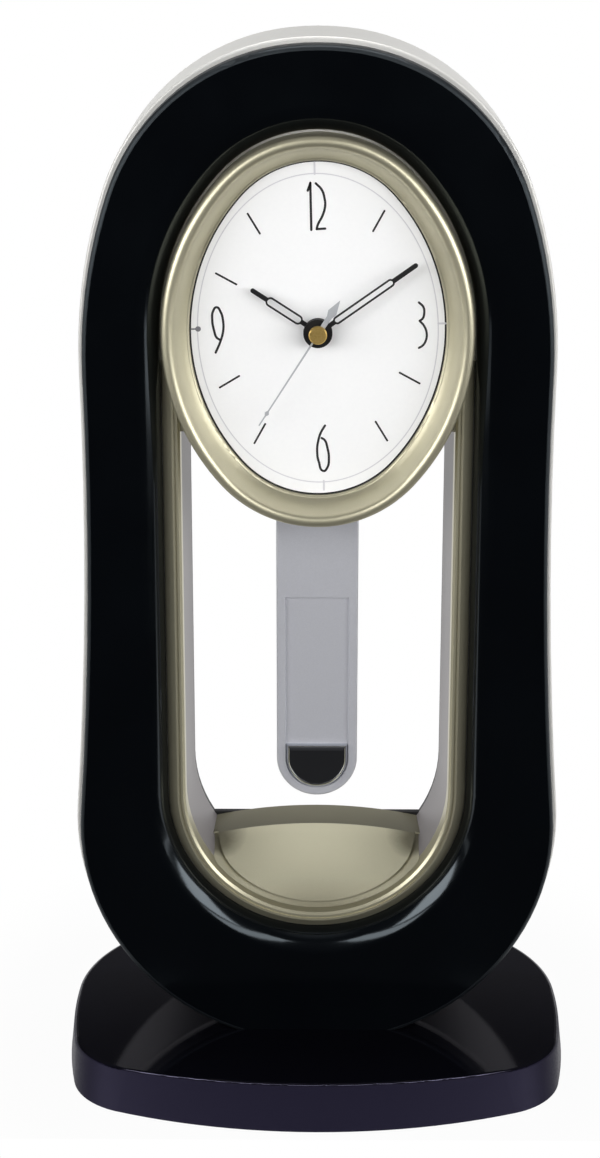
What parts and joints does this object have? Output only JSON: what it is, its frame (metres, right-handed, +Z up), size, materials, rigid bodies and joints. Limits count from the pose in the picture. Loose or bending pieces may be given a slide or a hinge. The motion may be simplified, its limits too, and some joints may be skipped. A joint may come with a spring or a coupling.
{
  "type": "desk pendulum clock",
  "caption": "Tall rounded desk clock: gloss black ring on a silver case, oval dial with hands above an open window, a swinging pendulum and a bowed base.",
  "frame": {"origin": "on the table under the middle of the base", "axes": "+Z up, +X to the right seen from the front, the dial faces -Y"},
  "size_m": [0.172, 0.142, 0.3473],
  "materials": {
    "base_gloss": "polished navy-black",
    "ring_gloss": "piano black",
    "case_silver": "silver lacquer",
    "champagne": "champagne metallic lacquer",
    "dial_white": "matt white lacquer",
    "cover_black": "fine grain",
    "foot_rubber": "matt",
    "screw_steel": "zinc plated",
    "movement_black": "moulded",
    "gear_white": "natural acetal",
    "coil_copper": "enamelled copper wire",
    "motor_iron": "stamped",
    "magnet_dark": "ferrite",
    "board_green": "solder resist",
    "cell_jacket": "plain sleeve",
    "contact_nickel": "nickel plated",
    "hand_black": "satin black",
    "hand_silver": "bright",
    "cap_brass": "polished",
    "pendulum_silver": "silver lacquer",
    "bob_chrome": "mirror"
  },
  "bodies": {
    "clock_body": {"base_plinth": "base_gloss", "base_feet": "foot_rubber", "base_screws": "screw_steel", "case_body": "case_silver", "front_ring": "ring_gloss", "ring_screws": "screw_steel", "window_frame": "champagne", "apron": "champagne", "dial_bezel": "champagne", "bezel_screws": "screw_steel", "dial_plate": "dial_white", "back_cover": "cover_black", "back_cover_screws": "screw_steel", "movement_housing": "movement_black", "movement_cover": "movement_black", "movement_screws": "screw_steel", "circuit_board": "board_green", "motor_coil": "coil_copper", "stator": "motor_iron", "battery": "cell_jacket", "contact_plate": "contact_nickel", "contact_spring": "contact_nickel", "pendulum_coil": "coil_copper", "pendulum_pivot": "screw_steel"},
    "seconds_train": {"second_wheel": "gear_white", "second_hand": "hand_silver", "hand_cap": "cap_brass"},
    "motor_rotor": {"rotor": "magnet_dark"},
    "intermediate_gear": {"intermediate_wheel": "gear_white"},
    "third_gear": {"third_wheel": "gear_white"},
    "centre_gear": {"centre_wheel": "gear_white"},
    "minutes_train": {"minute_arbor": "gear_white", "minute_hand": "hand_black"},
    "setting_train": {"minute_wheel": "gear_white", "setting_knob": "movement_black"},
    "hours_train": {"hour_wheel": "gear_white", "hour_hand": "hand_black"},
    "pendulum": {"pendulum_lever": "gear_white", "pendulum_magnet": "magnet_dark", "pendulum_plate": "pendulum_silver", "pendulum_bob": "bob_chrome"}
  },
  "joints": [
    {"name": "second_hand_turn", "type": "hinge", "parent": "clock_body", "child": "seconds_train", "pos_m": [0, -0.005, 0.2558], "axis": [0, 1, 0], "continuous": true},
    {"name": "rotor_turn", "type": "hinge", "parent": "clock_body", "child": "motor_rotor", "pos_m": [0.01084, -0.005, 0.24388], "axis": [0, 1, 0], "continuous": true},
    {"name": "intermediate_turn", "type": "hinge", "parent": "clock_body", "child": "intermediate_gear", "pos_m": [0.0042, -0.005, 0.24853], "axis": [0, 1, 0], "continuous": true},
    {"name": "third_turn", "type": "hinge", "parent": "clock_body", "child": "third_gear", "pos_m": [-0.013, -0.005, 0.2558], "axis": [0, 1, 0], "continuous": true},
    {"name": "centre_turn", "type": "hinge", "parent": "clock_body", "child": "centre_gear", "pos_m": [0, -0.005, 0.2558], "axis": [0, 1, 0], "continuous": true},
    {"name": "minute_hand_turn", "type": "hinge", "parent": "clock_body", "child": "minutes_train", "pos_m": [0, -0.005, 0.2558], "axis": [0, 1, 0], "continuous": true},
    {"name": "setting_knob_turn", "type": "hinge", "parent": "clock_body", "child": "setting_train", "pos_m": [0.014, -0.005, 0.2558], "axis": [0, 1, 0], "continuous": true},
    {"name": "hour_hand_turn", "type": "hinge", "parent": "clock_body", "child": "hours_train", "pos_m": [0, -0.005, 0.2558], "axis": [0, 1, 0], "continuous": true},
    {"name": "pendulum_swing", "type": "hinge", "parent": "clock_body", "child": "pendulum", "pos_m": [0, -0.005, 0.2418], "axis": [0, 1, 0], "range_deg": [-10, 10]}
  ],
  "couplings": [
    {"joint": "rotor_turn", "follows": "second_hand_turn", "ratio": 30},
    {"joint": "intermediate_turn", "follows": "second_hand_turn", "ratio": -6},
    {"joint": "third_turn", "follows": "second_hand_turn", "ratio": -0.13333},
    {"joint": "centre_turn", "follows": "second_hand_turn", "ratio": 0.016667},
    {"joint": "setting_knob_turn", "follows": "minute_hand_turn", "ratio": -0.33333},
    {"joint": "hour_hand_turn", "follows": "minute_hand_turn", "ratio": 0.083333}
  ]
}
